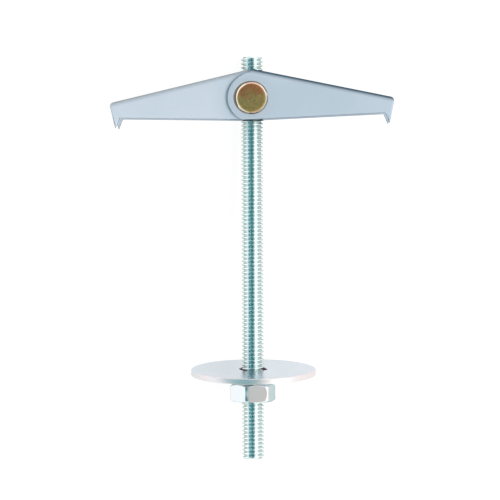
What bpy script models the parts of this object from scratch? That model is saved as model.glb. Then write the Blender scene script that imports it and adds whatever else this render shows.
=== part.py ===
# Spring toggle anchor: an M4 rod carries a cross nut with two folded steel wings that a spring holds
# open, and a wide washer and a hex nut near its lower end.
#
# The anchor is drawn upright about its rod. Z runs up the rod, Y along the cross nut on which the wings
# turn, and X out to the wings. Everything hangs on one empty, which lays the finished anchor on a flat
# surface, because a loose rod can't stand.
import bpy
import bmesh
import numpy as np
from math import atan2, cos, pi, radians, sin, sqrt, tan
from mathutils import Matrix, Vector

MM = 0.001

# Threaded rod, with the wings' hinge axis at height 0
thread_radius = 1.97 * MM
rod_top = 7.5 * MM
rod_length = 72.75 * MM
rod_chamfer = 0.45 * MM
thread_play = 0.1 * MM

# Cross nut, the short round bar through the wings' ears
pin_radius = 2.8 * MM
pin_chamfer = 0.4 * MM
pin_proud = 0.7 * MM

# Sheet of the wings, and the channel that it is folded into
sheet = 0.8 * MM
inner_ear_at = 3.1 * MM
ear_play = 0.15 * MM
pin_play = 0.1 * MM
fold_outer_radius = 0.95 * MM
fold_inner_radius = 0.15 * MM
web_height = 5.3 * MM
wing_length = 25.15 * MM
wing_taper = radians(14.2)
bottom_drop = 3.88 * MM
outer_ear_radius = 4.33 * MM
inner_ear_radius = 4.15 * MM
ear_rise_at = radians(128)
apex_back = 1.3 * MM
web_back = 0.8 * MM
notch_radius = 2.35 * MM
notch_reach = 1.3 * MM
corner_radius = 0.6 * MM
tooth_tip_height = 0.5 * MM
tooth_tip_width = 0.12 * MM
tooth_base = 1.2 * MM

# How far each wing hangs below level, the right one on its stop
right_droop = radians(11.5)
left_droop = radians(13.4)

# Spring, one wire with a coil on each side of the rod and a leg under each web
wire_radius = 0.2 * MM
wire_play = 0.1 * MM
coil_pitch = 0.43 * MM
leg_reach = 9.0 * MM
leg_bend = 0.9 * MM

# Wide washer, loose on the rod and leaning as it stands on its rim
washer_radius = 11.33 * MM
washer_hole_radius = 2.48 * MM
washer_thickness = 1.0 * MM
washer_edge = 0.15 * MM
washer_top = -48.97 * MM
washer_lean = radians(5.15)
washer_shift = (0.13 * MM, -0.27 * MM)

# Hex nut
nut_across_flats = 7.0 * MM
nut_height = 3.2 * MM
nut_top = -51.7 * MM
nut_chamfer = radians(30)
nut_turn = radians(12.2)
nut_mouth = 0.35 * MM

# Sizes that follow from the ones above
rod_bottom = rod_top - rod_length
outer_ear_at = inner_ear_at + sheet + ear_play
channel_middle = (inner_ear_at - outer_ear_at) / 2
channel_half = (inner_ear_at + outer_ear_at) / 2 + sheet
pin_half = outer_ear_at + sheet + pin_proud
bore_radius = thread_radius + thread_play
coil_radius = pin_radius + wire_play + wire_radius

for ob in list(bpy.data.objects):
    bpy.data.objects.remove(ob, do_unlink=True)

parts = bpy.data.collections.new("spring_toggle_anchor")
cutters = bpy.data.collections.new("cutters")
for group in (parts, cutters):
    bpy.context.scene.collection.children.link(group)


def material(name, colour, roughness, metallic=1.0):
    mat = bpy.data.materials.new(name)
    mat.use_nodes = True
    bsdf = mat.node_tree.nodes["Principled BSDF"]
    bsdf.inputs["Base Color"].default_value = (*colour, 1)
    bsdf.inputs["Roughness"].default_value = roughness
    bsdf.inputs["Metallic"].default_value = metallic
    return mat


def add(name, mesh, mat=None):
    """An object of the anchor, or a cutter where it has no material."""
    ob = bpy.data.objects.new(name, mesh)
    if mat:
        mesh.materials.clear()
        mesh.materials.append(mat)
        parts.objects.link(ob)
    else:
        cutters.objects.link(ob)
        ob.hide_render = True
        ob.display_type = "WIRE"
    return ob


def smooth(mesh, angle=35):
    mesh.shade_smooth()
    mesh.set_sharp_from_angle(angle=radians(angle))


def evaluated_mesh(ob):
    """The mesh that an object's modifiers or curve settings make, with loose seams joined."""
    bpy.context.view_layer.update()
    graph = bpy.context.evaluated_depsgraph_get()
    mesh = bpy.data.meshes.new_from_object(ob.evaluated_get(graph), depsgraph=graph)
    bm = bmesh.new()
    bm.from_mesh(mesh)
    bmesh.ops.remove_doubles(bm, verts=bm.verts, dist=1e-6)
    bm.to_mesh(mesh)
    bm.free()
    return mesh


def cylinder(name, radius, length, axis="Z", at=(0, 0, 0), segments=64):
    bm = bmesh.new()
    bmesh.ops.create_cone(bm, cap_ends=True, segments=segments, radius1=radius, radius2=radius, depth=length)
    mesh = bpy.data.meshes.new(name)
    bm.to_mesh(mesh)
    bm.free()
    turn = Matrix.Rotation(pi / 2, 4, "X") if axis == "Y" else Matrix()
    mesh.transform(Matrix.Translation(at) @ turn)
    return mesh


def block(name, low, high):
    bm = bmesh.new()
    bmesh.ops.create_cube(bm, size=1)
    mesh = bpy.data.meshes.new(name)
    bm.to_mesh(mesh)
    bm.free()
    size = Matrix.Diagonal((*(h - l for l, h in zip(low, high)), 1))
    mesh.transform(Matrix.Translation([(l + h) / 2 for l, h in zip(low, high)]) @ size)
    return mesh


def turned(name, profile, closed, steps=64):
    """A profile of (radius, height) points, down its outer side, swept once round Z."""
    edges = [(i, i + 1) for i in range(len(profile) - 1)] + ([(len(profile) - 1, 0)] if closed else [])
    mesh = bpy.data.meshes.new(name)
    mesh.from_pydata([(r, 0, z) for r, z in profile], edges, [])
    ob = add(name + "_profile", mesh)
    screw = ob.modifiers.new("turn", "SCREW")
    screw.steps = screw.render_steps = steps
    screw.use_merge_vertices = True
    screw.merge_threshold = 1e-6
    solid = evaluated_mesh(ob)
    bpy.data.objects.remove(ob, do_unlink=True)
    return solid


def plate(name, outline, half_width, middle):
    """A side outline of (x, z) points, drawn out to both sides along Y."""
    curve = bpy.data.curves.new(name, "CURVE")
    curve.dimensions = "2D"
    curve.fill_mode = "BOTH"
    curve.extrude = half_width
    spline = curve.splines.new("POLY")
    spline.points.add(len(outline) - 1)
    for point, (x, z) in zip(spline.points, outline):
        point.co = (x, z, 0, 1)
    spline.use_cyclic_u = True
    ob = add(name, curve)
    mesh = evaluated_mesh(ob)
    bpy.data.objects.remove(ob, do_unlink=True)
    mesh.transform(Matrix.Translation((0, middle, 0)) @ Matrix.Rotation(pi / 2, 4, "X"))
    return mesh


def round_edges(ob, picks, radius, segments):
    """A Bevel on the edges whose two ends both satisfy picks."""
    weights = ob.data.attributes.new("bevel_weight_edge", "FLOAT", "EDGE")
    for edge in ob.data.edges:
        if all(picks(ob.data.vertices[v].co) for v in edge.vertices):
            weights.data[edge.index].value = 1
    bevel = ob.modifiers.new("fold", "BEVEL")
    bevel.limit_method = "WEIGHT"
    bevel.width = radius
    bevel.segments = segments


def cut(ob, mesh, operation="DIFFERENCE"):
    tool = add(mesh.name, mesh)
    modifier = ob.modifiers.new(mesh.name, "BOOLEAN")
    modifier.operation = operation
    modifier.object = tool
    return tool


def arc(radius, start, end, count, centre=(0, 0)):
    return [(centre[0] + radius * cos(a), centre[1] + radius * sin(a)) for a in np.linspace(start, end, count)]


def wing_outline():
    """The side view of a wing with its fold level, anticlockwise from the outer end's top corner."""
    bottom_normal = 1.5 * pi + wing_taper
    heel = bottom_drop * cos(bottom_normal), bottom_drop * sin(bottom_normal)
    base = wing_length - tooth_base
    base_height = heel[1] + (base - heel[0]) * tan(wing_taper)
    apex = -apex_back, web_height * 0.98
    corner = wing_length - corner_radius, web_height - corner_radius
    points = arc(corner_radius, 0, pi / 2, 6, corner)
    points += [(-web_back, web_height), apex]
    for a in np.linspace(ear_rise_at, bottom_normal, 25):
        share = max(0, (a - radians(200)) / (bottom_normal - radians(200)))
        radius = outer_ear_radius + (bottom_drop - outer_ear_radius) * share**2 * (3 - 2 * share)
        points.append((radius * cos(a), radius * sin(a)))
    tip = wing_length - tooth_tip_width, tooth_tip_height
    return points + [(base, base_height), tip, (wing_length, tooth_tip_height)]


def wing_mesh():
    """A wing with its outer ear on the -Y side, made from the folded outline by cutting out the channel."""
    far = 60 * MM
    wing = add("wing_blank", plate("wing_plate", wing_outline(), channel_half, channel_middle))
    top = web_height - 0.05 * MM
    round_edges(wing, lambda v: v.z > top and abs(v.x) < wing_length - corner_radius + 1e-6, fold_outer_radius, 5)

    inside = add("channel", block("channel", (-far, -outer_ear_at, -far), (far, inner_ear_at, web_height - sheet)))
    round_edges(inside, lambda v: v.z > 0, fold_inner_radius, 3)
    modifier = wing.modifiers.new("channel", "BOOLEAN")
    modifier.operation = "DIFFERENCE"
    modifier.object = inside

    cut(wing, block("web_end", (-far, -outer_ear_at, 0), (-web_back, inner_ear_at, far)))
    cut(wing, cylinder("rod_notch", notch_radius, 4 * web_height, at=(notch_reach - notch_radius, 0, 2 * web_height)))

    trim = add("ear_trim", block("ear_trim", (-far, inner_ear_at - 0.3 * MM, -far), (-web_back, far, far)))
    cut(trim, cylinder("ear_disc", inner_ear_radius, 4 * far, "Y", segments=72))
    modifier = wing.modifiers.new("ear_trim", "BOOLEAN")
    modifier.operation = "DIFFERENCE"
    modifier.object = trim

    cut(wing, cylinder("pin_hole", pin_radius + pin_play, 4 * channel_half, "Y"))
    mesh = evaluated_mesh(wing)
    for ob in list(cutters.objects):
        bpy.data.objects.remove(ob, do_unlink=True)
    smooth(mesh)
    return mesh


def spring_path():
    """The wire's centre line: out of one free end under the left web, round the cross nut beside the rod,
    out and back in a loop under the right web, round the cross nut on the rod's other side, and out again."""
    side = bore_radius + wire_radius
    leg_height = web_height - sheet - wire_play - wire_radius

    def leg_end(droop, way):
        """Where a leg presses on a web that hangs by droop, to the side given by way."""
        x = leg_reach * cos(droop) + leg_height * sin(droop)
        return way * x, leg_height * cos(droop) - leg_reach * sin(droop)

    def leaves_at(end):
        """The angle round the cross nut at which a straight leg to that end leaves the coil."""
        span = sqrt(end[0] ** 2 + end[1] ** 2)
        open_angle = np.arccos(coil_radius / span)
        return atan2(end[1], end[0]) + (open_angle if end[0] > 0 else -open_angle)

    left, right = leg_end(left_droop, -1), leg_end(right_droop, 1)
    start, end = leaves_at(right), leaves_at(left) + 2 * pi
    turns = (end - start) / (2 * pi)
    coil = [(coil_radius * cos(a), side + coil_pitch * (a - start) / (2 * pi), coil_radius * sin(a))
            for a in np.linspace(start, end, 44)]
    tip = Vector((left[0], side + coil_pitch * turns, left[1]))
    out = Vector(coil[-1]).lerp(tip, 0.5)
    corner = Vector((right[0], side, right[1]))
    along = (corner - Vector(coil[0])).normalized()
    bend = [corner - along * leg_bend * (1 - sin(a)) - Vector((0, leg_bend * (1 - cos(a)), 0))
            for a in np.linspace(0, pi / 2, 6)]
    half = bend[::-1] + [Vector(coil[0]).lerp(corner, 0.4)] + [Vector(p) for p in coil] + [out, tip]
    mirrored = [Vector((p.x, -p.y, p.z)) for p in half]
    return mirrored[::-1] + half


def spring_mesh():
    curve = bpy.data.curves.new("spring_wire", "CURVE")
    curve.dimensions = "3D"
    curve.bevel_depth = wire_radius
    curve.bevel_resolution = 2
    curve.use_fill_caps = True
    path = spring_path()
    spline = curve.splines.new("POLY")
    spline.points.add(len(path) - 1)
    for point, co in zip(spline.points, path):
        point.co = (*co, 1)
    ob = add("spring_wire", curve)
    mesh = evaluated_mesh(ob)
    bpy.data.objects.remove(ob, do_unlink=True)
    smooth(mesh, 60)
    return mesh


def rod_mesh():
    core = thread_radius - rod_chamfer
    profile = [(0, rod_top), (core, rod_top), (thread_radius, rod_top - rod_chamfer),
               (thread_radius, rod_bottom + rod_chamfer), (core, rod_bottom), (0, rod_bottom)]
    mesh = turned("rod", profile, closed=False, steps=48)
    smooth(mesh)
    return mesh


def cross_nut_mesh():
    """The round bar, chamfered at both ends, with the thread's hole across its middle."""
    flat = pin_radius - pin_chamfer
    profile = [(0, pin_half), (flat, pin_half), (pin_radius, pin_half - pin_chamfer),
               (pin_radius, pin_chamfer - pin_half), (flat, -pin_half), (0, -pin_half)]
    bar = turned("cross_nut", profile, closed=False)
    bar.transform(Matrix.Rotation(pi / 2, 4, "X"))
    ob = add("cross_nut_blank", bar)
    tool = cut(ob, cylinder("cross_hole", bore_radius, 4 * pin_radius, segments=48))
    mesh = evaluated_mesh(ob)
    for blank in (ob, tool):
        bpy.data.objects.remove(blank, do_unlink=True)
    smooth(mesh)
    return mesh


def washer_mesh():
    """The washer about its own axis, with its top face at height 0 and its edges slightly rounded."""
    rim, hole, edge = washer_radius, washer_hole_radius, washer_edge
    half_round = np.linspace(0, pi / 2, 3)
    profile = [(rim - edge + edge * sin(a), -edge + edge * cos(a)) for a in half_round]
    profile += [(rim - edge + edge * cos(a), edge - washer_thickness - edge * sin(a)) for a in half_round]
    profile += [(hole + edge - edge * sin(a), edge - washer_thickness - edge * cos(a)) for a in half_round]
    profile += [(hole + edge - edge * cos(a), -edge + edge * sin(a)) for a in half_round]
    mesh = turned("washer", profile, closed=True, steps=80)
    smooth(mesh)
    return mesh


def hex_nut_mesh():
    """A hexagon, cut back at its corners by the cones of both faces, with a countersunk bore."""
    corner = nut_across_flats / sqrt(3)
    flat_rim = nut_across_flats / 2 * 0.97
    fall = (corner * 1.1 - flat_rim) * tan(nut_chamfer)
    cone = [(0, 0), (flat_rim, 0), (corner * 1.1, -fall), (corner * 1.1, fall - nut_height),
            (flat_rim, -nut_height), (0, -nut_height)]
    middle = (0, 0, -nut_height / 2)
    ob = add("nut_blank", cylinder("nut_blank", corner, nut_height, at=middle, segments=6))
    ob.data.transform(Matrix.Rotation(-pi / 2, 4, "Z"))
    mouth = bore_radius + nut_mouth
    reach = 1 * MM
    bore = [(0, reach), (mouth + reach, reach), (bore_radius, -nut_mouth), (bore_radius, nut_mouth - nut_height),
            (mouth + reach, -nut_height - reach), (0, -nut_height - reach)]
    tools = [cut(ob, turned("nut_cones", cone, closed=False, steps=72), "INTERSECT"),
             cut(ob, turned("nut_bore", bore, closed=False, steps=48))]
    mesh = evaluated_mesh(ob)
    for blank in (ob, *tools):
        bpy.data.objects.remove(blank, do_unlink=True)
    smooth(mesh, 20)
    return mesh


zinc_rod = material("zinc_rod", (0.74, 0.80, 0.82), 0.22)
zinc_wing = material("zinc_wing", (0.56, 0.64, 0.70), 0.38)
yellow_zinc = material("yellow_zinc", (0.52, 0.38, 0.15), 0.30)
spring_steel = material("spring_steel", (0.42, 0.42, 0.43), 0.35)
zinc_washer = material("zinc_washer", (0.72, 0.75, 0.78), 0.20)
zinc_nut = material("zinc_nut", (0.66, 0.69, 0.69), 0.26)

anchor = bpy.data.objects.new("anchor", None)
parts.objects.link(anchor)


def piece(name, mesh, mat, at=(0, 0, 0), turn=(0, 0, 0)):
    ob = add(name, mesh, mat)
    ob.parent = anchor
    ob.location = at
    ob.rotation_euler = turn
    return ob


wing = wing_mesh()
piece("threaded_rod", rod_mesh(), zinc_rod)
piece("pivot_nut", cross_nut_mesh(), yellow_zinc)
piece("wing_right", wing, zinc_wing, turn=(0, right_droop, 0))
piece("wing_left", wing.copy(), zinc_wing, turn=(0, left_droop, pi))
piece("torsion_spring", spring_mesh(), spring_steel)
piece("washer", washer_mesh(), zinc_washer, at=(*washer_shift, washer_top), turn=(washer_lean, 0, 0))
piece("hex_nut", hex_nut_mesh(), zinc_nut, at=(0, 0, nut_top), turn=(0, 0, nut_turn))


def lying_tilt():
    """The rod's slope when the anchor lies on the washer's rim and the cross nut's lower end."""
    def lower_by(tilt):
        lean = tilt - washer_lean
        rim = washer_shift[1] * cos(tilt) + washer_top * sin(tilt)
        rim += (washer_radius - washer_edge) * cos(lean) - washer_edge * sin(lean) + washer_edge
        return rim - pin_half * cos(tilt) - (pin_radius - pin_chamfer) * sin(tilt)

    low, high = 0, radians(20)
    for _ in range(40):
        middle = (low + high) / 2
        low, high = (middle, high) if lower_by(middle) > 0 else (low, middle)
    return low


# The wings' -Y side faces up, and the bottom centre of the whole anchor is the origin
anchor.rotation_euler = (-pi / 2 - lying_tilt(), 0, 0)
bpy.context.view_layer.update()
corners = np.array([ob.matrix_world @ v.co for ob in parts.objects if ob.type == "MESH" for v in ob.data.vertices])
low, high = corners.min(axis=0), corners.max(axis=0)
anchor.location = (-(low[0] + high[0]) / 2, -(low[1] + high[1]) / 2, -low[2])
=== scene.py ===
# %% [markdown]
# # A spring toggle anchor
#
# This is a fixing for a hollow wall or a plasterboard ceiling. Two steel wings fold down to pass through a
# drilled hole, a spring opens them behind the board, and a washer and nut on a threaded rod pull them tight.
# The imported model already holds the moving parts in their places, so this lesson dresses each of them:
# it makes a finer mesh with a plated finish, and lets it ride on the part it belongs to.

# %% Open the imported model
from math import acos, atan2, ceil, cos, pi, radians, sin, sqrt, tan
import bmesh
import bpy
import numpy as np
from mathutils import Matrix, Vector


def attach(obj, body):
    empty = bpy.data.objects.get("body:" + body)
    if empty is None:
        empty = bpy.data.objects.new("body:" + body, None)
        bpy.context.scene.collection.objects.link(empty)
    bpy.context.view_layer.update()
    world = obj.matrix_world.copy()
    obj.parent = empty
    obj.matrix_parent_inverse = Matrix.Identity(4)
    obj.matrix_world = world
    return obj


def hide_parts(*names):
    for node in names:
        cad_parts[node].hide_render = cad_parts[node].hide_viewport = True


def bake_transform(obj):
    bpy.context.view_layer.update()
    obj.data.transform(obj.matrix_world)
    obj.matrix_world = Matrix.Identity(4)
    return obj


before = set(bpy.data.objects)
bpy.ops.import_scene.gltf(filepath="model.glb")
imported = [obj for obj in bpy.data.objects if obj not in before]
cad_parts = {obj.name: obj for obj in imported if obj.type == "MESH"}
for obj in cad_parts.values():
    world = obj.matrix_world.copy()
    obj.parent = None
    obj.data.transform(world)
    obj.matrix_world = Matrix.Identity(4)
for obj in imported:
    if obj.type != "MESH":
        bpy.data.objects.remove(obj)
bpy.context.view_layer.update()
scene = bpy.context.scene
print("parts:", ", ".join(sorted(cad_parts)))

# %% [markdown]
# ## The anchor's own directions
#
# A loose rod can't stand, so the anchor lies on its side, on the washer's rim and the end of its cross nut.
# Every piece is easier to think of upright. So each one is made with Z up the rod, Y along the cross nut
# and the hinge at height 0, and is then laid down by this one matrix.

# %% Lay the anchor down
MM = 0.001
lay_slope = radians(6.1904)
hinge_at = Vector((-0.0107, 28.7066, 5.7764)) * MM
lay_down = Matrix.Translation(hinge_at) @ Matrix.Rotation(-pi / 2 - lay_slope, 4, "X")
print("the rod points along", [round(c, 3) for c in lay_down.to_3x3() @ Vector((0, 0, 1))])

# %% [markdown]
# ## A short way to write node trees
#
# Geometry Nodes and materials are both made of nodes. One small function adds a node, links or sets its
# inputs and returns its outputs, so that a tree reads from top to bottom like a recipe.


# %% Node helpers
def node(tree, kind, inputs=None, **settings):
    """Adds a node and gives its outputs. An input is a value, or the output of another node."""
    made = tree.nodes.new(kind)
    for name, value in settings.items():
        setattr(made, name, value)
    for key, value in (inputs or {}).items():
        if isinstance(value, bpy.types.NodeSocket):
            tree.links.new(value, made.inputs[key])
        else:
            made.inputs[key].default_value = value
    return made.outputs


def calc(tree, operation, *values):
    """One step of arithmetic."""
    return node(tree, "ShaderNodeMath", dict(enumerate(values)), operation=operation)[0]


def ramp(tree, value, *points, smooth=False):
    """A value turned into another along straight lines, or smooth ones, through the points."""
    outputs = node(tree, "ShaderNodeFloatCurve", {"Value": value})
    curve = outputs[0].node.mapping.curves[0]
    for point, at in zip(list(curve.points), (points[0], points[-1])):
        point.location = at
    for at in points[1:-1]:
        curve.points.new(*at)
    for point in curve.points:
        point.handle_type = "AUTO_CLAMPED" if smooth else "VECTOR"
    outputs[0].node.mapping.update()
    return outputs[0]


def geometry_tree(name, **sizes):
    """A new Geometry Nodes tree with named sizes, and the outputs of its Group Input."""
    tree = bpy.data.node_groups.new(name, "GeometryNodeTree")
    sockets = tree.interface
    sockets.new_socket("Geometry", in_out="OUTPUT", socket_type="NodeSocketGeometry")
    sockets.new_socket("Geometry", in_out="INPUT", socket_type="NodeSocketGeometry")
    for size, value in sizes.items():
        kind = "NodeSocketInt" if isinstance(value, int) else "NodeSocketFloat"
        socket = sockets.new_socket(size.replace("_", " ").capitalize(), in_out="INPUT", socket_type=kind)
        socket.default_value = value
    sockets.new_socket("Material", in_out="INPUT", socket_type="NodeSocketMaterial")
    return tree, node(tree, "NodeGroupInput")


def finish_tree(tree, given, geometry):
    """Ends a tree: smooth shading, real geometry in place of instances, and the material."""
    geometry = node(tree, "GeometryNodeSetShadeSmooth", {"Geometry": geometry})[0]
    geometry = node(tree, "GeometryNodeRealizeInstances", {"Geometry": geometry})[0]
    geometry = node(tree, "GeometryNodeSetMaterial", {"Geometry": geometry, "Material": given["Material"]})[0]
    node(tree, "NodeGroupOutput", {"Geometry": geometry})


# %% Mesh helpers
def new_object(name, data):
    ob = bpy.data.objects.new(name, data)
    scene.collection.objects.link(ob)
    return ob


def plain_mesh(ob):
    """What an object's modifiers make, as a mesh of its own with no modifiers left."""
    bpy.context.view_layer.update()
    graph = bpy.context.evaluated_depsgraph_get()
    mesh = bpy.data.meshes.new_from_object(ob.evaluated_get(graph), depsgraph=graph)
    ob.modifiers.clear()
    ob.data = mesh
    return mesh


def grow(ob, tree, material, **sizes):
    """Runs a tree on an object with these sizes, and keeps the result as a plain mesh."""
    modifier = ob.modifiers.new(tree.name, "NODES")
    modifier.node_group = tree
    values = {size.replace("_", " ").capitalize(): value for size, value in sizes.items()}
    values["Material"] = material
    for socket in tree.interface.items_tree:
        if socket.in_out == "INPUT" and socket.name in values:
            modifier[socket.identifier] = values[socket.name]
    plain_mesh(ob)
    return ob


def finish_piece(ob, body, stands_for, at=Matrix(), corner_angle=180):
    """Lays a piece down at its place in the anchor, and lets it ride on its body."""
    ob.data.set_sharp_from_angle(angle=radians(corner_angle))
    ob.data.transform(lay_down @ at)
    ob.data.update()
    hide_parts(stands_for)
    if body:
        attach(ob, body)
    faces = sum(len(face.vertices) - 2 for face in ob.data.polygons)
    print(ob.name, "rides on", body or "two bodies", "with", faces, "triangles")
    return ob


# %% [markdown]
# ## Plated steel
#
# Everything here but the spring is steel with a thin coat of zinc. Bright zinc is a metal, so the colour
# goes into the reflection. What makes it look like zinc and not like chrome is small: the passivation leaves
# cloudy, faintly blue areas, the coat is finely mottled, and the sheet below it keeps the lines of the
# rolling mill. The patterns are drawn in millimetres in the anchor's own directions. The wings have a duller coat,
# so their shader is only partly metal. Their finish comes in two copies with painted light and shade, a lit one
# for the left wing and a shaded one for the right. Rings at a given distance from an axis change the finish:
# painted shade in the thread's groove, in the washer's hole, on the rod just under the cross nut and on the
# wings round the cross nut, a painted shadow of the cross nut's end on the ear, and a warmer colour on the
# washer's rim. The wings' folds get painted shade and their cut edges are darker, partly their own tone and
# partly painted shade, where the mesh marks them with an attribute.


# %% Zinc finish
def own_place(tree):
    """A point of the surface in the upright anchor, in millimetres."""
    here = node(tree, "ShaderNodeTexCoord")["Object"]
    turn = lay_down.to_euler()
    return node(tree, "ShaderNodeMapping", {"Vector": here, "Location": hinge_at, "Rotation": turn,
                                            "Scale": (MM, MM, MM)}, vector_type="TEXTURE")[0]


def stretched(tree, place, scale):
    return node(tree, "ShaderNodeMapping", {"Vector": place, "Scale": scale})[0]


def noise(tree, place, scale, detail=3.0, roughness=0.5, seed=0.0):
    return node(tree, "ShaderNodeTexNoise", {"Vector": place, "W": seed, "Scale": scale, "Detail": detail,
                                             "Roughness": roughness}, noise_dimensions="4D")[0]


def mixed(tree, share, first, second, blend="MIX"):
    """A colour between two others."""
    made = tree.nodes.new("ShaderNodeMix")
    made.data_type = "RGBA"
    made.blend_type = blend
    for socket, value in ((made.inputs[0], share), (made.inputs[6], first), (made.inputs[7], second)):
        if isinstance(value, bpy.types.NodeSocket):
            tree.links.new(value, socket)
        else:
            socket.default_value = value if isinstance(value, float) else (*value, 1)
    return made.outputs[2]


ROD, CROSS = ((1, 1, 0), (0, 0, 0)), ((1, 0, 1), (0, 0, 0))
BESIDE_CROSS, UNDER_CROSS = ((1, 0, 1), (-0.33, 0, 0)), ((0, 0, 1), (0, 0, -3.5))


def from_axis(tree, place, axis):
    """How far a point lies from an axis, or from the level under the cross nut, in millimetres."""
    place = node(tree, "ShaderNodeVectorMath", {0: place, 1: axis[1]}, operation="SUBTRACT")[0]
    level = node(tree, "ShaderNodeVectorMath", {0: place, 1: axis[0]}, operation="MULTIPLY")[0]
    return node(tree, "ShaderNodeVectorMath", {0: level}, operation="LENGTH")["Value"]


def plated(name, colour, cloud_colour, roughness, mottle, lines=None, line_depth=0.0, seed=0.0, cloud=0.09,
           metallic=1.0, edge_tint=(1, 1, 1), specular=0.5, rings=(), shade_and_tone_marks=()):
    """A plated metal: clouds of a second colour, a fine mottle, and lines along one direction. Each of
    the rings (axis, from, to, colour, roughness) changes the finish between two distances from an axis.
    The last argument, a list of (attribute, colour, roughness), changes it where the mesh's attribute is 1: the
    wings' painted fold shade and their darker cut edges."""
    material = bpy.data.materials.new(name)
    material.use_nodes = True
    tree = material.node_tree
    shader = tree.nodes["Principled BSDF"]
    place = own_place(tree)
    clouds = noise(tree, place, cloud, 4.0, 0.6, seed)
    clouds = ramp(tree, clouds, (0, 0), (0.35, 0.0), (0.65, 1.0), (1, 1), smooth=True)
    tint = mixed(tree, clouds, colour, cloud_colour)
    grain = noise(tree, place, 4.5, 4.0, 0.7, seed + 1)
    tint = mixed(tree, calc(tree, "MULTIPLY", grain, 0.10), tint, tuple(c * 0.72 for c in colour))
    rough = calc(tree, "MULTIPLY_ADD", grain, mottle, roughness - mottle / 2)
    rough = calc(tree, "MULTIPLY_ADD", clouds, 0.04, rough)
    changes = []
    for axis, low, high, *finish in rings:
        share = node(tree, "ShaderNodeMapRange", {"Value": from_axis(tree, place, axis), "From Min": low,
                                                  "From Max": high}, interpolation_type="SMOOTHSTEP")[0]
        changes.append((share, *finish))
    for attribute, mark_colour, mark_roughness in shade_and_tone_marks:
        share = node(tree, "ShaderNodeAttribute", attribute_name=attribute)["Fac"]
        changes.append((share, mark_colour, mark_roughness))
    for share, other_colour, other_roughness in changes:
        tint = mixed(tree, share, tint, other_colour)
        rough = calc(tree, "MULTIPLY_ADD", calc(tree, "SUBTRACT", other_roughness, rough), share, rough)
    tree.links.new(tint, shader.inputs["Base Color"])
    tree.links.new(rough, shader.inputs["Roughness"])
    shader.inputs["Metallic"].default_value = metallic
    shader.inputs["Specular Tint"].default_value = (*edge_tint, 1)
    shader.inputs["Specular IOR Level"].default_value = specular
    height = calc(tree, "MULTIPLY", grain, 0.0015)
    if lines:
        mill = noise(tree, stretched(tree, place, lines), 1.0, 3.0, 0.65, seed + 2)
        height = calc(tree, "MULTIPLY_ADD", mill, line_depth, height)
    bump = node(tree, "ShaderNodeBump", {"Height": height, "Distance": MM, "Strength": 1.0})[0]
    tree.links.new(bump, shader.inputs["Normal"])
    return material


zinc_rod = plated("zinc_rod", (0.84, 0.90, 0.91), (0.90, 0.93, 0.94), 0.14, 0.05, seed=1.0,
                  edge_tint=(0.42, 0.56, 0.50),
                  # painted shade: the thread's groove is darker and greener, and the rod is near black just under
                  # the cross nut, inside the hinge
                  rings=[(ROD, 1.86, 1.56, (0.70, 0.79, 0.76), 0.26),
                         (UNDER_CROSS, 0.7, 0.5, (0.06, 0.07, 0.08), 0.3)])
# The wings share one finish in two copies. This darker, shaded copy is for the right wing, so its colour holds
# painted shade.
zinc_wing = plated("zinc_wing", (0.575, 0.655, 0.745), (0.605, 0.68, 0.77), 0.42, 0.06,
                   lines=(0.12, 6.0, 6.0), line_depth=0.002, seed=2.0, metallic=0.3, specular=0.1,
                   edge_tint=(0.2, 0.3, 0.36),
                   # painted shade: a little darker towards the cross nut, and a dark brown painted shadow of the
                   # cross nut's end on the ear, mostly on its left
                   rings=[(CROSS, 4.9, 3.3, (0.57, 0.635, 0.715), 0.42),
                          (BESIDE_CROSS, 3.02, 2.84, (0.22, 0.20, 0.17), 0.42)],
                   # the folds get painted shade; the cut edges are darker, partly their own tone and partly
                   # painted shade
                   shade_and_tone_marks=[("fold_shade", (0.045, 0.095, 0.135), 0.5), ("cut", (0.20, 0.26, 0.30), 0.4)])
# The lighter, lit copy of the wing finish is for the left wing, so its colour holds painted light.
zinc_wing_lit = plated("zinc_wing_lit", (0.70, 0.755, 0.84), (0.73, 0.78, 0.87), 0.42, 0.06,
                         lines=(0.12, 6.0, 6.0), line_depth=0.002, seed=7.0, metallic=0.3, specular=0.1,
                         # painted shade: darker towards the cross nut
                         edge_tint=(0.4, 0.48, 0.52), rings=[(CROSS, 9.0, 4.5, (0.66, 0.73, 0.81), 0.42)],
                         # the folds get a milder painted shade; the cut edges are darker, partly their own tone
                         # and partly painted shade
                         shade_and_tone_marks=[("fold_shade", (0.40, 0.45, 0.49), 0.5), ("cut", (0.24, 0.30, 0.34), 0.4)])
zinc_washer = plated("zinc_washer", (0.68, 0.73, 0.76), (0.76, 0.77, 0.83), 0.24, 0.05,
                     lines=(0.2, 7.0, 7.0), line_depth=0.0015, seed=3.0, edge_tint=(0.87, 0.90, 0.92),
                     rings=[(ROD, 11.22, 11.36, (0.86, 0.79, 0.78), 0.48),
                            # painted shade inside the washer's hole
                            (ROD, 2.56, 2.48, (0.22, 0.14, 0.18), 0.3)])
zinc_nut = plated("zinc_nut", (0.86, 0.92, 0.96), (0.88, 0.92, 0.95), 0.12, 0.04, seed=4.0,
                  edge_tint=(0.30, 0.42, 0.39), rings=[(ROD, 4.09, 4.12, (0.88, 0.82, 0.80), 0.12)])
spring_steel = plated("spring_steel", (0.46, 0.47, 0.48), (0.52, 0.52, 0.52), 0.30, 0.05, seed=5.0)


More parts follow.
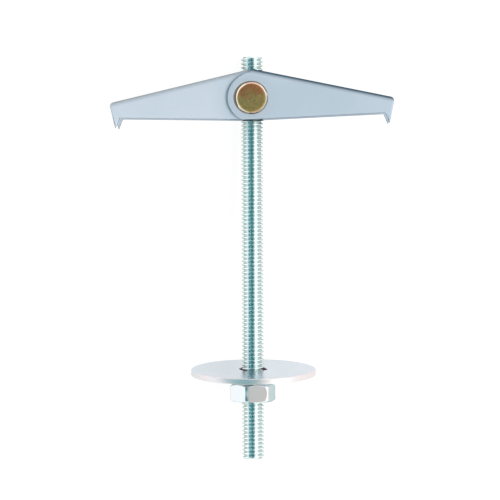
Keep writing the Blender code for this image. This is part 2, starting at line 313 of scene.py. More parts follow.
def yellow_passivated():
    """Yellow zinc: a turned, darker end face in olive and rusty red, the red more towards the top as a painted
    reflection, and a bright edge, brighter at the left and right as a painted highlight.
    """
    material = bpy.data.materials.new("yellow_zinc")
    material.use_nodes = True
    tree = material.node_tree
    shader = tree.nodes["Principled BSDF"]
    place = own_place(tree)
    radius = from_axis(tree, place, CROSS)
    from_edge = from_axis(tree, place, ((1, 0, 1), (0, 0, -0.06)))
    side, _, up = node(tree, "ShaderNodeSeparateXYZ", {0: place})
    edge = node(tree, "ShaderNodeMapRange", {"Value": from_edge, "From Min": 2.53, "From Max": 2.59})[0]
    patches = noise(tree, place, 0.55, 4.0, 0.6, 6.0)
    # rust patches, and more of the rust colour towards the top and the left: that slope is painted reflection
    rust_and_reflection = calc(tree, "MULTIPLY_ADD", up, 0.16, calc(tree, "MULTIPLY_ADD", side, -0.045, patches))
    rust_and_reflection = ramp(tree, rust_and_reflection, (0, 0), (0.54, 0.0), (0.76, 1.0), (1, 1), smooth=True)
    speckle = noise(tree, place, 3.2, 2.0, 0.6, 7.0)
    speckle = ramp(tree, speckle, (0, 0), (0.3, 0.0), (0.7, 1.0), (1, 1), smooth=True)
    face = mixed(tree, rust_and_reflection, (0.475, 0.307, 0.108), (0.54, 0.19, 0.08))
    face = mixed(tree, calc(tree, "MULTIPLY", speckle, 0.6), face, (0.20, 0.14, 0.05))
    # the bright edge: patches where it is worn bare, and brighter towards the left and right as a painted
    # highlight
    bare_and_highlight = noise(tree, place, 0.5, 2.0, 0.5, 8.0)
    to_side = calc(tree, "SUBTRACT", calc(tree, "ABSOLUTE", side), 1.4)
    bare_and_highlight = calc(tree, "ADD", bare_and_highlight, calc(tree, "MULTIPLY", to_side, 0.3))
    bare_and_highlight = ramp(tree, bare_and_highlight, (0, 0), (0.25, 0.0), (0.6, 1.0), (1, 1), smooth=True)
    rim = mixed(tree, bare_and_highlight, (0.70, 0.50, 0.40), (0.95, 0.84, 0.66))
    colour = mixed(tree, edge, face, rim)
    tree.links.new(colour, shader.inputs["Base Color"])
    tree.links.new(calc(tree, "MULTIPLY_ADD", edge, 0.4, 0.6), shader.inputs["Metallic"])
    rough = calc(tree, "MULTIPLY_ADD", edge, -0.2, calc(tree, "MULTIPLY_ADD", speckle, 0.1, 0.32))
    tree.links.new(rough, shader.inputs["Roughness"])
    rings = node(tree, "ShaderNodeTexNoise", {"W": calc(tree, "MULTIPLY", radius, 9.0), "Scale": 1.0},
                 noise_dimensions="1D")[0]
    height = calc(tree, "MULTIPLY", calc(tree, "ADD", rings, speckle), 0.003)
    bump = node(tree, "ShaderNodeBump", {"Height": height, "Distance": MM, "Strength": 1.0})[0]
    tree.links.new(bump, shader.inputs["Normal"])
    return material


yellow_zinc = yellow_passivated()
finishes = zinc_rod, zinc_wing, zinc_wing_lit, zinc_washer, zinc_nut, spring_steel, yellow_zinc
print(len(finishes), "finishes, with", sum(len(finish.node_tree.nodes) for finish in finishes), "nodes")

# %% [markdown]
# ## One tree for every thread
#
# A thread is a groove that winds round an axis: one short profile, repeated once a turn, each time one
# pitch higher. So a flat grid is enough. Its long side runs along the helix and its short side runs across
# one pitch, and arithmetic rolls it up. Beyond the two ends the points are pressed onto the end faces, and
# an end cone limits their radius, which gives the chamfer. With Way set to -1 the same tree makes the
# thread inside a nut, which fits round the rod's because both follow one rule.


# %% Thread tree
def thread_tree():
    tree, given = geometry_tree("Rolled thread", crest_radius=2 * MM, depth=0.4 * MM, pitch=0.7 * MM,
                                bottom=0.0, top=0.01, end_radius=1.5 * MM, start_angle=0.0, way=1.0,
                                turns=10, segments=48)
    points_along = calc(tree, "MULTIPLY_ADD", given["Turns"], given["Segments"], 1.0)
    grid = node(tree, "GeometryNodeMeshGrid", {"Size X": 1.0, "Size Y": 2.0, "Vertices X": points_along,
                                               "Vertices Y": 9})[0]
    place = node(tree, "ShaderNodeSeparateXYZ", {0: node(tree, "GeometryNodeInputPosition")[0]})
    turn = calc(tree, "MULTIPLY", calc(tree, "ADD", place[0], 0.5), given["Turns"])
    away = calc(tree, "ABSOLUTE", place[1])
    away = ramp(tree, away, (0, 0), (0.25, 0.2), (0.75, 0.78), (1, 1))
    groove = ramp(tree, away, (0, 0), (0.2, 0.03), (0.78, 0.97), (1, 1))
    across = calc(tree, "MULTIPLY", calc(tree, "MULTIPLY", calc(tree, "SIGN", place[1]), away), 0.5)
    pitches = calc(tree, "SUBTRACT", calc(tree, "ADD", turn, across), 0.5)
    height = calc(tree, "MULTIPLY_ADD", pitches, given["Pitch"], given["Bottom"])
    above = calc(tree, "GREATER_THAN", height, given["Top"])
    below = calc(tree, "LESS_THAN", height, given["Bottom"])
    beyond = calc(tree, "MAXIMUM", above, below)
    capture = tree.nodes.new("GeometryNodeCaptureAttribute")
    capture.capture_items.new("FLOAT", "Beyond")
    tree.links.new(grid, capture.inputs["Geometry"])
    tree.links.new(beyond, capture.inputs["Beyond"])
    height = calc(tree, "MINIMUM", calc(tree, "MAXIMUM", height, given["Bottom"]), given["Top"])
    radius = calc(tree, "SUBTRACT", given["Crest radius"], calc(tree, "MULTIPLY", groove, given["Depth"]))
    to_end = calc(tree, "MINIMUM", calc(tree, "SUBTRACT", given["Top"], height),
                  calc(tree, "SUBTRACT", height, given["Bottom"]))
    limit = calc(tree, "MULTIPLY_ADD", given["End radius"], given["Way"], to_end)
    radius = calc(tree, "MINIMUM", calc(tree, "MULTIPLY", radius, given["Way"]), limit)
    radius = calc(tree, "MULTIPLY", radius, given["Way"])
    angle = calc(tree, "MULTIPLY_ADD", turn, 2 * pi, given["Start angle"])
    x = calc(tree, "MULTIPLY", radius, calc(tree, "COSINE", angle))
    y = calc(tree, "MULTIPLY", radius, calc(tree, "SINE", angle))
    rolled = node(tree, "ShaderNodeCombineXYZ", {0: x, 1: y, 2: height})[0]
    geometry = node(tree, "GeometryNodeSetPosition", {"Geometry": capture.outputs["Geometry"],
                                                      "Position": rolled})[0]
    lost = node(tree, "FunctionNodeCompare", {0: capture.outputs["Beyond"], 1: 0.999},
                operation="GREATER_THAN")[0]
    geometry = node(tree, "GeometryNodeDeleteGeometry", {"Geometry": geometry, "Selection": lost},
                    domain="FACE", mode="ALL")[0]
    geometry = node(tree, "GeometryNodeMergeByDistance", {"Geometry": geometry, "Distance": 1e-6})[0]
    inside = calc(tree, "LESS_THAN", given["Way"], 0.0)
    geometry = node(tree, "GeometryNodeFlipFaces", {"Mesh": geometry, "Selection": inside})[0]
    finish_tree(tree, given, geometry)
    return tree


threads = thread_tree()
print("thread tree:", len(threads.nodes), "nodes")

# %% [markdown]
# ## The rod
#
# The rod is M4: 4 mm across and 0.7 mm a turn. The thread is rolled, so its crests and roots are soft.
# The tree leaves an open ring at each end, and the end faces are filled in afterwards.

# %% Rod
thread_radius = 1.99 * MM
thread_depth = 0.43 * MM
pitch = 0.7 * MM
rod_top = 7.5 * MM
rod_bottom = -65.25 * MM
rod_chamfer = 0.25 * MM


def thread(name, material, bottom, top, way=1.0, play=0.0, end_radius=thread_radius - rod_chamfer):
    """A stretch of thread round Z that keeps the rod's own helix."""
    return grow(new_object(name, bpy.data.meshes.new(name)), threads, material, bottom=bottom, top=top,
                crest_radius=thread_radius + play, depth=thread_depth, pitch=pitch, end_radius=end_radius,
                start_angle=2 * pi * bottom / pitch, way=way, segments=48,
                turns=ceil((top - bottom) / pitch) + 2)


def fill_ends(mesh):
    """Closes open rings with flat faces, and makes their rims sharp."""
    bm = bmesh.new()
    bm.from_mesh(mesh)
    rims = [edge for edge in bm.edges if edge.is_boundary]
    faces = bmesh.ops.holes_fill(bm, edges=rims, sides=0)["faces"]
    for face in faces:
        face.smooth = False
        for edge in face.edges:
            edge.smooth = False
    bm.to_mesh(mesh)
    bm.free()
    return len(faces)


rod = thread("rod_thread", zinc_rod, rod_bottom, rod_top)
print("end faces filled:", fill_ends(rod.data))
finish_piece(rod, "rod", "threaded_rod")

# %% [markdown]
# ## The wings
#
# A wing is one piece of 0.8 mm sheet. The press first cuts a flat blank, with a hole in each ear, a notch
# for the rod and a tooth at each outer corner, and then folds it along two lines into a channel.
# The lesson does the same. A filled 2D curve is the blank, and its small bevel is the softened cut edge.
# A Geometry Nodes tree then folds it: a point is carried along an arc of the fold radius by as much as it
# lies past the fold line, and straight down after that.

# %% Wing sizes
sheet = 0.8 * MM
inner_ear_at = 3.1 * MM
outer_ear_at = 4.05 * MM
web_height = 5.12 * MM
wing_length = 25.15 * MM
wing_taper = radians(14.2)
bottom_drop = 3.88 * MM
outer_ear_radius = 4.33 * MM
inner_ear_radius = 4.15 * MM
fold_radius = 0.95 * MM
corner_radius = 0.6 * MM
notch_radius, notch_at = 2.35 * MM, -1.05 * MM
tooth_base, tooth_tip_height, tooth_tip_width = 1.2 * MM, 0.5 * MM, 0.12 * MM
bottom_corner_soft, ear_bulge = 0.3 * MM, 0.3 * MM
right_droop, left_droop = radians(11.5), radians(13.4)
web_back = 0.8 * MM
cut_edge = 0.18 * MM
pin_hole_radius = 2.9 * MM
channel_middle = (inner_ear_at - outer_ear_at) / 2
fold_line = (inner_ear_at + outer_ear_at) / 2 + sheet - fold_radius
fold_length = fold_radius * pi / 2


def blank_across(height):
    """How far from the blank's middle line a point of that height in the folded wing lies."""
    fall = web_height - height
    if fall < fold_radius:
        return fold_line + fold_radius * acos(max(-1, 1 - fall / fold_radius))
    return fold_line + fold_length + fall - fold_radius


def wall_outline(inner):
    """The folded wing's side outline of (x, height), from the web's outer end round to its inner end."""
    normal = 1.5 * pi + wing_taper
    heel = bottom_drop * cos(normal), bottom_drop * sin(normal)
    base = wing_length - tooth_base
    points = [(wing_length - corner_radius * (1 - sin(a)), web_height - corner_radius * (1 - cos(a)))
              for a in np.linspace(0, pi / 2, 7)]
    points += [(wing_length, tooth_tip_height), (wing_length - tooth_tip_width, tooth_tip_height),
               (base, heel[1] + (base - heel[0]) * tan(wing_taper))]
    ear_radius = inner_ear_radius if inner else outer_ear_radius
    for a in np.linspace(normal, radians(101) if inner else radians(105), 56):
        below = bottom_drop / max(0.5, cos(normal - a))
        share = min(1, max(0, 0.5 + (below - ear_radius) / bottom_corner_soft))
        radius = below + (ear_radius - below) * share - bottom_corner_soft / 2 * share * (1 - share)
        if not inner:
            radius += ear_bulge * max(0, (radians(150) - a) / radians(45)) ** 1.5
        points.append((radius * cos(a), radius * sin(a)))
    top = (-web_back, web_height * 0.995) if inner else (-1.3 * MM, web_height * 0.98)
    last = points[-1]
    points += [tuple(np.array(last) + (np.array(top) - np.array(last)) * k / 6) for k in range(1, 7)]
    return points


def wing_blank():
    """The flat blank as a thin plate with softened edges: X along the wing, Y across it."""
    near = [(x, -blank_across(z)) for x, z in wall_outline(inner=False)]
    far = [(x, blank_across(z)) for x, z in wall_outline(inner=True)]
    opening = acos((-web_back - notch_at) / notch_radius)
    notch = [(notch_at + notch_radius * cos(a), -channel_middle + notch_radius * sin(a))
             for a in np.linspace(-opening, opening, 24)]
    inner_end = [(-web_back, -fold_line), *notch, (-web_back, fold_line)]
    rings = [near + inner_end + far[::-1]]
    for side in (-1, 1):
        centre = side * blank_across(0)
        rings.append([(pin_hole_radius * cos(a), centre + pin_hole_radius * sin(a))
                      for a in np.linspace(0, 2 * pi, 72, endpoint=False)])
    curve = bpy.data.curves.new("wing_blank", "CURVE")
    curve.dimensions = "2D"
    curve.fill_mode = "BOTH"
    curve.extrude = sheet / 2 - cut_edge
    curve.bevel_depth = cut_edge
    curve.offset = -cut_edge
    curve.bevel_resolution = 2
    for ring in rings:
        spline = curve.splines.new("POLY")
        spline.points.add(len(ring) - 1)
        for point, (x, y) in zip(spline.points, ring):
            point.co = (x, y, 0, 1)
        spline.use_cyclic_u = True
    blank = new_object("wing_blank", curve)
    bpy.context.view_layer.update()
    mesh = bpy.data.meshes.new_from_object(blank.evaluated_get(bpy.context.evaluated_depsgraph_get()))
    bpy.data.objects.remove(blank)
    mesh.transform(Matrix.Translation((0, 0, -sheet / 2)))
    bm = bmesh.new()
    bm.from_mesh(mesh)
    bmesh.ops.remove_doubles(bm, verts=bm.verts, dist=1e-7)
    for side in (-1, 1):
        for share in np.linspace(0, 1, 9):
            everything = bm.verts[:] + bm.edges[:] + bm.faces[:]
            bmesh.ops.bisect_plane(bm, geom=everything, dist=1e-7, plane_no=(0, 1, 0),
                                   plane_co=(0, side * (fold_line + fold_length * share), 0))
    bm.to_mesh(mesh)
    bm.free()
    return mesh


blank = wing_blank()
blank_length, blank_width, _ = np.ptp([v.co for v in blank.vertices], axis=0) / MM
print("blank:", len(blank.polygons), "faces,", round(blank_length, 1), "by", round(blank_width, 1), "mm")


# %% Folding tree
def folding_tree():
    tree, given = geometry_tree("Fold sheet", fold_line=3 * MM, fold_radius=1 * MM, top=5 * MM, middle=0.0)
    place = node(tree, "ShaderNodeSeparateXYZ", {0: node(tree, "GeometryNodeInputPosition")[0]})
    side = calc(tree, "SIGN", place[1])
    across = calc(tree, "ABSOLUTE", place[1])
    past = calc(tree, "MAXIMUM", calc(tree, "SUBTRACT", across, given["Fold line"]), 0.0)
    angle = calc(tree, "MINIMUM", calc(tree, "DIVIDE", past, given["Fold radius"]), pi / 2)
    straight = calc(tree, "SUBTRACT", past, calc(tree, "MULTIPLY", angle, given["Fold radius"]))
    radius = calc(tree, "ADD", given["Fold radius"], place[2])
    flat = calc(tree, "MINIMUM", across, given["Fold line"])
    y = calc(tree, "MULTIPLY_ADD", radius, calc(tree, "SINE", angle), flat)
    y = calc(tree, "MULTIPLY_ADD", y, side, given["Middle"])
    z = calc(tree, "MULTIPLY_ADD", radius, calc(tree, "COSINE", angle), given["Top"])
    z = calc(tree, "SUBTRACT", calc(tree, "SUBTRACT", z, given["Fold radius"]), straight)
    folded = node(tree, "ShaderNodeCombineXYZ", {0: place[0], 1: y, 2: z})[0]
    # painted shade along each fold: darkest just past the web, fading out down the fold
    fold_shade = ramp(tree, calc(tree, "DIVIDE", angle, pi / 2), (0, 0), (0.1, 1), (0.4, 1), (0.51, 0.88),
                (0.66, 0.58), (0.8, 0.22), (1, 0))
    # the cut edges' darker tone, partly their own and partly painted shade, fills the softened edge
    depth = calc(tree, "MINIMUM", calc(tree, "MULTIPLY", place[2], -1.0), calc(tree, "ADD", place[2], sheet))
    cut = ramp(tree, calc(tree, "DIVIDE", depth, cut_edge), (0, 0), (0.3, 0.2), (0.8, 1), (1, 1))
    geometry = given["Geometry"]
    for attribute, value in (("fold_shade", fold_shade), ("cut", cut)):
        geometry = node(tree, "GeometryNodeStoreNamedAttribute", {"Geometry": geometry, "Name": attribute,
                                                                  "Value": value})[0]
    geometry = node(tree, "GeometryNodeSetPosition", {"Geometry": geometry, "Position": folded})[0]
    finish_tree(tree, given, geometry)
    return tree


folding = folding_tree()
turned_round = Matrix.Rotation(pi, 4, "Z")
wings = {"wing_right": ("right_wing", zinc_wing, Matrix.Rotation(right_droop, 4, "Y")),
         "wing_left": ("left_wing", zinc_wing_lit, turned_round @ Matrix.Rotation(left_droop, 4, "Y"))}
for name, (body, finish, at) in wings.items():
    wing = new_object(name + "_sheet", blank.copy())
    grow(wing, folding, finish, fold_line=fold_line, fold_radius=fold_radius, top=web_height,
         middle=channel_middle)
    weighted = wing.modifiers.new("flat faces stay flat", "WEIGHTED_NORMAL")
    weighted.mode = "FACE_AREA"
    weighted.keep_sharp = True
    plain_mesh(wing)
    finish_piece(wing, body, name, at)

# %% [markdown]
# ## The cross nut
#
# The cross nut is a short round bar with a chamfer at each end and the rod's thread across its middle. It
# carries the wings. Half of its outline is enough: Blender's spin operator turns it once round, and a
# Boolean drills the hole.

# %% Cross nut
pin_radius = 2.8 * MM
pin_half = 5.55 * MM
pin_chamfer = 0.4 * MM
bore_radius = 2.07 * MM


def spun(name, outline, steps, closed=False):
    """A profile of (radius, height) points turned once round Z."""
    bm = bmesh.new()
    verts = [bm.verts.new((r, 0, z)) for r, z in outline]
    pairs = list(zip(verts, verts[1:])) + ([(verts[-1], verts[0])] if closed else [])
    edges = [bm.edges.new(pair) for pair in pairs]
    bmesh.ops.spin(bm, geom=verts + edges, cent=(0, 0, 0), axis=(0, 0, 1), angle=2 * pi, steps=steps,
                   use_merge=True)
    bmesh.ops.remove_doubles(bm, verts=bm.verts, dist=1e-7)
    bmesh.ops.recalc_face_normals(bm, faces=bm.faces)
    for face in bm.faces:
        face.smooth = True
    mesh = bpy.data.meshes.new(name)
    bm.to_mesh(mesh)
    bm.free()
    return mesh


def rounded(corner, start, end, radius, steps=4):
    """Points of a small arc that rounds a corner of an outline, from one angle to another in degrees."""
    return [(corner[0] + radius * cos(radians(a)), corner[1] + radius * sin(radians(a)))
            for a in np.linspace(start, end, steps)]


soft = 0.06 * MM
flat = pin_radius - pin_chamfer
upper = [(0, pin_half)]
upper += rounded((flat - soft / 2, pin_half - soft), 90, 45, soft)
upper += rounded((pin_radius - soft, pin_half - pin_chamfer - soft / 2), 45, 0, soft)
bar = spun("cross_nut_bar", upper + [(r, -z) for r, z in upper[::-1]], 96)
cross_nut = new_object("cross_nut_bar", bar)
bar.transform(Matrix.Rotation(pi / 2, 4, "X"))
bar.materials.append(yellow_zinc)
drill_mesh = spun("drill", [(0, 0.01), (bore_radius, 0.01), (bore_radius, -0.01), (0, -0.01)], 48)
drill = new_object("drill", drill_mesh)
hole = cross_nut.modifiers.new("cross hole", "BOOLEAN")
hole.operation = "DIFFERENCE"
hole.object = drill
plain_mesh(cross_nut)
bpy.data.objects.remove(drill)
finish_piece(cross_nut, "rod", "pivot_nut", corner_angle=32)

# %% [markdown]
# ## The spring
#
# The spring is one wire. It starts with a free end under the left wing's back, winds once round the cross
# nut beside the rod, goes out and back in a loop under the right wing's back, winds round the cross nut on
# the rod's other side and ends under the left wing again. The centre line follows that path by rule, and a
# tree gives it thickness. It is made in two pieces, the loop and the two ends, which stay where they are made.

# %% Wire tree
wire_radius, wire_play = 0.2 * MM, 0.1 * MM
leg_reach, leg_bend, coil_pitch = 9 * MM, 0.9 * MM, 0.43 * MM


def wire_tree():
    tree, given = geometry_tree("Wire along a line", wire_radius=0.2 * MM, sides=14)
    line = node(tree, "GeometryNodeMeshToCurve", {"Mesh": given["Geometry"]})[0]
    ring = node(tree, "GeometryNodeCurvePrimitiveCircle", {"Resolution": given["Sides"],
                                                           "Radius": given["Wire radius"]})[0]
    wire = node(tree, "GeometryNodeCurveToMesh", {"Curve": line, "Profile Curve": ring, "Fill Caps": True})[0]
    finish_tree(tree, given, wire)
    return tree


# %% Spring path
leg_height = web_height - sheet - wire_play - wire_radius
coil_radius = pin_radius + wire_play + wire_radius
coil_side = bore_radius + wire_radius


def leg_end(droop, way):
    """Where a leg presses on the back of a web that hangs by droop."""
    return (way * (leg_reach * cos(droop) + leg_height * sin(droop)),
            leg_height * cos(droop) - leg_reach * sin(droop))


def leaves_at(end):
    """The angle round the cross nut at which a straight leg to that end leaves the coil."""
    open_angle = acos(coil_radius / sqrt(end[0] ** 2 + end[1] ** 2))
    return atan2(end[1], end[0]) + (open_angle if end[0] > 0 else -open_angle)


left_end, right_end = leg_end(left_droop, -1), leg_end(right_droop, 1)
coil_start, coil_end = leaves_at(right_end), leaves_at(left_end) + 2 * pi
coil_middle = 1.5 * pi


def coil(first, last, steps):
    rise = coil_pitch / (2 * pi)
    return [Vector((coil_radius * cos(a), coil_side + rise * (a - coil_start), coil_radius * sin(a)))
            for a in np.linspace(first, last, steps)]


def line_mesh(name, lines):
    mesh = bpy.data.meshes.new(name)
    points = [point for line in lines for point in line]
    starts = np.cumsum([0] + [len(line) for line in lines])
    edges = [(i, i + 1) for start, line in zip(starts, lines) for i in range(start, start + len(line) - 1)]
    mesh.from_pydata(points, edges, [])
    return mesh


def mirrored(line):
    return [Vector((p.x, -p.y, p.z)) for p in line]


wound = coil(coil_start, coil_middle, 48)
corner = Vector((right_end[0], coil_side, right_end[1]))
along = (corner - wound[0]).normalized()
bend = [corner - along * leg_bend * (1 - sin(a)) - Vector((0, leg_bend * (1 - cos(a)), 0))
        for a in np.linspace(0, pi / 2, 10)]
loop = [wound[0].lerp(bend[0], k / 8) for k in range(1, 8)]
right_half = wound[::-1] + loop + bend
right_line = right_half + mirrored(right_half)[::-1]
unwound = coil(coil_middle, coil_end, 48)
tip = Vector((left_end[0], unwound[-1].y, left_end[1]))
left_half = unwound + [unwound[-1].lerp(tip, k / 8) for k in range(1, 9)]
wire = wire_tree()


for name, body, lines, angle in (("spring_loop", "right_wing", [right_line], coil_start),
                                 ("spring_ends", "left_wing", [left_half, mirrored(left_half)], coil_end)):
    half = grow(new_object(name, line_mesh(name, lines)), wire, spring_steel, wire_radius=wire_radius, sides=14)
    finish_piece(half, None, "torsion_spring", corner_angle=60)
    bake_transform(half)

# %% [markdown]
# ## The washer
#
# A washer is punched from sheet. The punch draws the upper edge in and rounds it, and leaves the lower one
# crisp. It hangs loose on the rod and leans a little.

# %% Washer
washer_radius, washer_hole, washer_thickness = 11.33 * MM, 2.48 * MM, 1.0 * MM
roll, crisp = 0.2 * MM, 0.08 * MM
outline = rounded((washer_radius - roll, -roll), 90, 0, roll, 6)
outline += rounded((washer_radius - crisp, crisp - washer_thickness), 0, -90, crisp)
outline += rounded((washer_hole + crisp, crisp - washer_thickness), 270, 180, crisp)
outline += rounded((washer_hole + roll, -roll), 180, 90, roll, 6)
washer = new_object("washer_disc", spun("washer_disc", outline, 160, closed=True))
washer.data.materials.append(zinc_washer)
weighted = washer.modifiers.new("flat faces stay flat", "WEIGHTED_NORMAL")
weighted.keep_sharp = True
plain_mesh(washer)
lean = Matrix.Translation(Vector((0.13, -0.27, -48.97)) * MM) @ Matrix.Rotation(radians(5.15), 4, "X")
finish_piece(washer, "washer", "washer", lean)

# %% [markdown]
# ## The hex nut
#
# A hex nut follows a rule too. It is a hexagon with softened corners, turned down by a cone at each face,
# which is what leaves the curved line on every flat. In the tree, each point of the upper rim sinks by how
# far it lies outside the cone's circle. The lower half is the mirror image of the upper. An M4 nut is 7 mm
# across its flats. This one is 7.3 mm, as wide as the nut in the photograph looks.


# %% Hex nut tree
def hex_nut_tree():
    tree, given = geometry_tree("Hex nut", across_flats=7 * MM, height=3.2 * MM, corner=0.3 * MM,
                                chamfer=radians(30), face_radius=3.4 * MM, mouth_radius=2.4 * MM)
    reach = calc(tree, "DIVIDE", given["Across flats"], sqrt(3))
    ring = node(tree, "GeometryNodeCurvePrimitiveCircle", {"Resolution": 6, "Radius": reach})[0]
    ring = node(tree, "GeometryNodeFilletCurve", {"Curve": ring, "Radius": given["Corner"], "Count": 5},
                mode="POLY")[0]
    ring = node(tree, "GeometryNodeSubdivideCurve", {"Curve": ring, "Cuts": 6})[0]
    geometry = node(tree, "GeometryNodeFillCurve", {"Curve": ring}, mode="NGONS")[0]
    half = calc(tree, "MULTIPLY", given["Height"], 0.5)

    def ring_up(geometry, top, radius=None):
        """Extrudes the top face, and moves its rim to a radius or onto the cone."""
        selection = {} if top is None else {"Selection": top}
        made = node(tree, "GeometryNodeExtrudeMesh", {"Mesh": geometry, "Offset Scale": 0.0,
                                                      "Individual": False, **selection}, mode="FACES")
        position = node(tree, "GeometryNodeInputPosition")[0]
        place = node(tree, "ShaderNodeSeparateXYZ", {0: position})
        level = node(tree, "ShaderNodeCombineXYZ", {0: place[0], 1: place[1]})[0]
        length = node(tree, "ShaderNodeVectorMath", {0: level}, operation="LENGTH")["Value"]
        if radius is None:
            outside = calc(tree, "MAXIMUM", calc(tree, "SUBTRACT", length, given["Face radius"]), 0.0)
            fall = calc(tree, "MULTIPLY", outside, calc(tree, "TANGENT", given["Chamfer"]))
            z, scale = calc(tree, "SUBTRACT", half, fall), 1.0
        else:
            z, scale = half, calc(tree, "DIVIDE", radius, length)
        level = node(tree, "ShaderNodeVectorMath", {0: level, "Scale": scale}, operation="SCALE")[0]
        lift = node(tree, "ShaderNodeCombineXYZ", {2: z})[0]
        moved = node(tree, "ShaderNodeVectorMath", {0: level, 1: lift}, operation="ADD")[0]
        return node(tree, "GeometryNodeSetPosition", {"Geometry": made["Mesh"], "Selection": made["Top"],
                                                      "Position": moved})[0], made["Top"]

    geometry, top = ring_up(geometry, None)
    geometry, top = ring_up(geometry, top, given["Face radius"])
    geometry, top = ring_up(geometry, top, given["Mouth radius"])
    upper = node(tree, "GeometryNodeDeleteGeometry", {"Geometry": geometry, "Selection": top},
                 domain="FACE", mode="ALL")[0]
    lower = node(tree, "GeometryNodeTransform", {"Geometry": upper, "Scale": (1, 1, -1)})[0]
    lower = node(tree, "GeometryNodeFlipFaces", {"Mesh": lower})[0]
    both = tree.nodes.new("GeometryNodeJoinGeometry")
    for part in (upper, lower):
        tree.links.new(part, both.inputs[0])
    merged = node(tree, "GeometryNodeMergeByDistance", {"Geometry": both.outputs[0], "Distance": 1e-6})[0]
    finish_tree(tree, given, merged)
    return tree


# %% Hex nut
nut_height, nut_top, nut_mouth = 3.2 * MM, -51.7 * MM, 0.35 * MM
nut_turned = radians(12.2)
mouth = bore_radius + nut_mouth
nut = grow(new_object("nut_body", bpy.data.meshes.new("nut_body")), hex_nut_tree(), zinc_nut,
           across_flats=7.3 * MM, height=nut_height, corner=0.36 * MM, chamfer=radians(30),
           face_radius=3.55 * MM, mouth_radius=mouth + 0.05 * MM)
ease = nut.modifiers.new("eased edges", "BEVEL")
ease.limit_method = "ANGLE"
ease.angle_limit = radians(24)
ease.width = 0.05 * MM
ease.segments = 2
weighted = nut.modifiers.new("flat faces stay flat", "WEIGHTED_NORMAL")
weighted.keep_sharp = True
plain_mesh(nut)
nut.data.transform(Matrix.Translation((0, 0, nut_top - nut_height / 2)) @ Matrix.Rotation(nut_turned, 4, "Z"))
bore = thread("nut_bore", zinc_nut, nut_top - nut_height, nut_top, way=-1.0, play=0.06 * MM, end_radius=mouth)


def join_bore(body, bore):
    """Joins the bore to the nut's body with a narrow flat ring at each face."""
    bm = bmesh.new()
    bm.from_mesh(body.data)
    bm.from_mesh(bore.data)
    for face_height in (nut_top, nut_top - nut_height):
        rims = [e for e in bm.edges if e.is_boundary and abs(e.verts[0].co.z - face_height) < 1e-5]
        bmesh.ops.triangle_fill(bm, edges=rims, use_beauty=True, normal=(0, 0, 1))
    open_edges = sum(edge.is_boundary for edge in bm.edges)
    bmesh.ops.recalc_face_normals(bm, faces=bm.faces)
    bm.to_mesh(body.data)
    bm.free()
    bpy.data.objects.remove(bore)
    return open_edges


print("open edges left in the nut:", join_bore(nut, bore))
finish_piece(nut, "nut", "hex_nut")

# %% [markdown]
# ## Floor and light
#
# The photograph was taken in front of plain white with soft light from all round. Polished metal shows
# what surrounds it, so the reflections see a studio of their own, and the camera and the plain light see
# white. Each thing in that studio is a patch of the sky, from one turn round the rod to another and from one
# rise above the rod's cross-section to another, in degrees. Turn 0 is the camera's side. There are pale
# green-grey walls far round on both sides, a softbox left and right, a warm grey panel beside the camera,
# and a strip of dark teal where the camera stands, which gives the rod its dark stripe. The strip is lighter
# where the thread's crests look, so that the turns show, and darker again for the crests near the hinge. It
# also has a blue-black left border, a thin dark line across and a bright spot.
#
# The floor is part glow and part plain paint, so it stays white and still keeps the anchor's soft shadow.


# %% Surroundings
def window(tree, value, low, high, soft):
    """1 between two values and 0 outside them, with soft sides."""
    rise = node(tree, "ShaderNodeMapRange", {"Value": value, "From Min": low - soft, "From Max": low + soft},
                interpolation_type="SMOOTHSTEP")[0]
    fall = node(tree, "ShaderNodeMapRange", {"Value": value, "From Min": high + soft, "From Max": high - soft},
                interpolation_type="SMOOTHSTEP")[0]
    return calc(tree, "MULTIPLY", rise, fall)


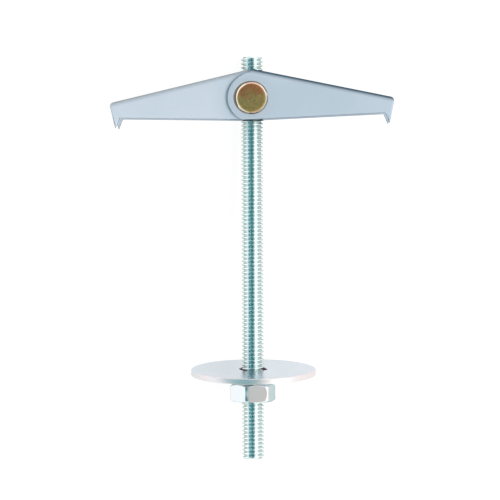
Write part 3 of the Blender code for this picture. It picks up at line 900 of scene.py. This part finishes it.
def surroundings():
    world = bpy.data.worlds.new("soft studio")
    scene.world = world
    world.use_nodes = True
    tree = world.node_tree
    tree.nodes.clear()
    here = node(tree, "ShaderNodeTexCoord")["Generated"]
    upright = node(tree, "ShaderNodeMapping", {"Vector": here, "Rotation": lay_down.to_euler()},
                   vector_type="TEXTURE")[0]
    x, y, z = node(tree, "ShaderNodeSeparateXYZ", {0: upright})
    turn = calc(tree, "DEGREES", calc(tree, "ARCTAN2", x, calc(tree, "MULTIPLY", y, -1.0)))
    rise = calc(tree, "DEGREES", calc(tree, "ARCSINE", z))

    def patch(turns, soft_turn, rises, soft_rise):
        """1 between two turns and two rises, and 0 elsewhere."""
        across = window(tree, turn, *turns, soft_turn)
        return calc(tree, "MULTIPLY", across, window(tree, rise, *rises, soft_rise))

    colour = mixed(tree, window(tree, turn, -138, -88, 5), (1.05, 1.05, 1.05), (0.72, 0.88, 0.78))
    colour = mixed(tree, window(tree, turn, 80, 130, 6), colour, (0.60, 0.71, 0.70))
    colour = mixed(tree, window(tree, turn, -84, -50, 4), colour, (1.4, 1.5, 1.6))
    colour = mixed(tree, window(tree, turn, 31, 70, 3), colour, (1.9, 1.95, 2.0))
    colour = mixed(tree, patch((4, 27), 2, (-60, 40), 10), colour, (0.57, 0.52, 0.48))
    right_half = window(tree, turn, -16, 60, 4)
    teal = mixed(tree, right_half, (0.02, 0.30, 0.34), (0.0, 0.22, 0.26))
    light_teal = mixed(tree, right_half, (0.05, 0.60, 0.68), (0.0, 0.48, 0.56))
    teal = mixed(tree, window(tree, rise, -9, 6, 1.5), teal, light_teal)
    teal = mixed(tree, window(tree, turn, -90, -42, 2), teal, (0.03, 0.05, 0.16))
    teal = mixed(tree, window(tree, rise, 12, 17, 1.5), teal, (0.16, 0.02, 0.08))
    strip = calc(tree, "MAXIMUM", patch((-43, 9), 3, (-75, 70), 8), patch((-56, 18), 2, (-30, 28), 4))
    colour = mixed(tree, strip, colour, teal)
    colour = mixed(tree, patch((-41, 10), 3, (2.4, 12), 0.6), colour, (0.0, 0.14, 0.16))
    colour = mixed(tree, patch((-33, -20), 4, (-9, 6), 2), colour, (1.1, 2.2, 2.3))
    rays = node(tree, "ShaderNodeLightPath")
    height = node(tree, "ShaderNodeSeparateXYZ", {0: here})[2]
    level = node(tree, "ShaderNodeMapRange", {"Value": height, "From Min": 0.2, "From Max": 0.5, "To Min": 1.0,
                                              "To Max": 0.37}, interpolation_type="SMOOTHSTEP")[0]
    level = calc(tree, "MAXIMUM", level, rays["Is Camera Ray"])
    plain = node(tree, "ShaderNodeBackground", {"Color": (1, 1, 1, 1), "Strength": level})[0]
    room = node(tree, "ShaderNodeBackground", {"Color": colour, "Strength": 1.0})[0]
    both = node(tree, "ShaderNodeMixShader", {0: rays["Is Glossy Ray"], 1: plain, 2: room})[0]
    node(tree, "ShaderNodeOutputWorld", {"Surface": both})


surroundings()
print("surroundings:", len(scene.world.node_tree.nodes), "nodes")


# %% Lamp
def soft_lamp(place, target, size, watts):
    """One broad lamp to the right of the camera. Its soft shadow shows how the ears lie on each other."""
    lamp = bpy.data.lights.new("soft lamp", "AREA")
    lamp.size = size
    lamp.energy = watts
    ob = new_object("soft lamp", lamp)
    ob.location = place
    ob.rotation_euler = (Vector(place) - Vector(target)).to_track_quat("Z", "Y").to_euler()
    ob.visible_glossy = False
    return ob


lamp = soft_lamp((0.40, 0.04, 0.82), (0, 0, 0.01), 0.42, 6.15)
print("lamp:", round(1000 * lamp.data.size), "mm wide,", round(lamp.location.length, 2), "m away")


# %% Floor
def pale_floor():
    material = bpy.data.materials.new("pale_floor")
    material.use_nodes = True
    tree = material.node_tree
    tree.nodes.clear()
    rays = node(tree, "ShaderNodeLightPath")
    shown = calc(tree, "MAXIMUM", rays["Is Camera Ray"], rays["Is Glossy Ray"])
    paint = node(tree, "ShaderNodeBsdfDiffuse", {"Color": (0.18, 0.18, 0.18, 1)})[0]
    strength = calc(tree, "MULTIPLY_ADD", shown, 0.45, 0.45)
    glow = node(tree, "ShaderNodeEmission", {"Color": (1, 1, 1, 1), "Strength": strength})[0]
    both = node(tree, "ShaderNodeAddShader", {0: paint, 1: glow})[0]
    node(tree, "ShaderNodeOutputMaterial", {"Surface": both})
    mesh = bpy.data.meshes.new("floor")
    reach = 1.5
    mesh.from_pydata([(-reach, -reach, 0), (reach, -reach, 0), (reach, reach, 0), (-reach, reach, 0)], [],
                     [(0, 1, 2, 3)])
    mesh.materials.append(material)
    floor = new_object("floor", mesh)
    return floor


print("floor:", round(pale_floor().dimensions.x, 1), "m wide")

# %% [markdown]
# ## The camera
#
# The photograph looks almost straight at the cross nut's end, here from 43 cm away through a long lens. The
# camera keeps that view of the anchor, so it hangs above the floor and looks down.

# %% Camera
focal_pixels, distance = 2393, 434 * MM
yaw, pitch_down, roll = radians(-1.2), radians(1.25), radians(-0.15)
aim = Vector((-0.455 * cos(yaw), 0.455 * sin(yaw), -27.41)) * MM
right = Vector((cos(yaw), -sin(yaw), 0))
forward = Vector((sin(yaw) * cos(pitch_down), cos(yaw) * cos(pitch_down), -sin(pitch_down)))
up = right.cross(forward)
right, up = right * cos(roll) + up * sin(roll), up * cos(roll) - right * sin(roll)
camera = new_object("camera", bpy.data.cameras.new("camera"))
camera.data.sensor_width = 36
camera.data.lens = focal_pixels * 36 / 500
camera.data.clip_start, camera.data.clip_end = 0.01, 20
axes = Matrix((right, up, -forward)).transposed().to_4x4()
camera.matrix_world = lay_down @ Matrix.Translation(aim - forward * distance) @ axes
scene.camera = camera
scene.view_settings.view_transform = "Standard"
print("lens", round(camera.data.lens, 1), "mm, height over the floor", round(camera.location.z, 3), "m")
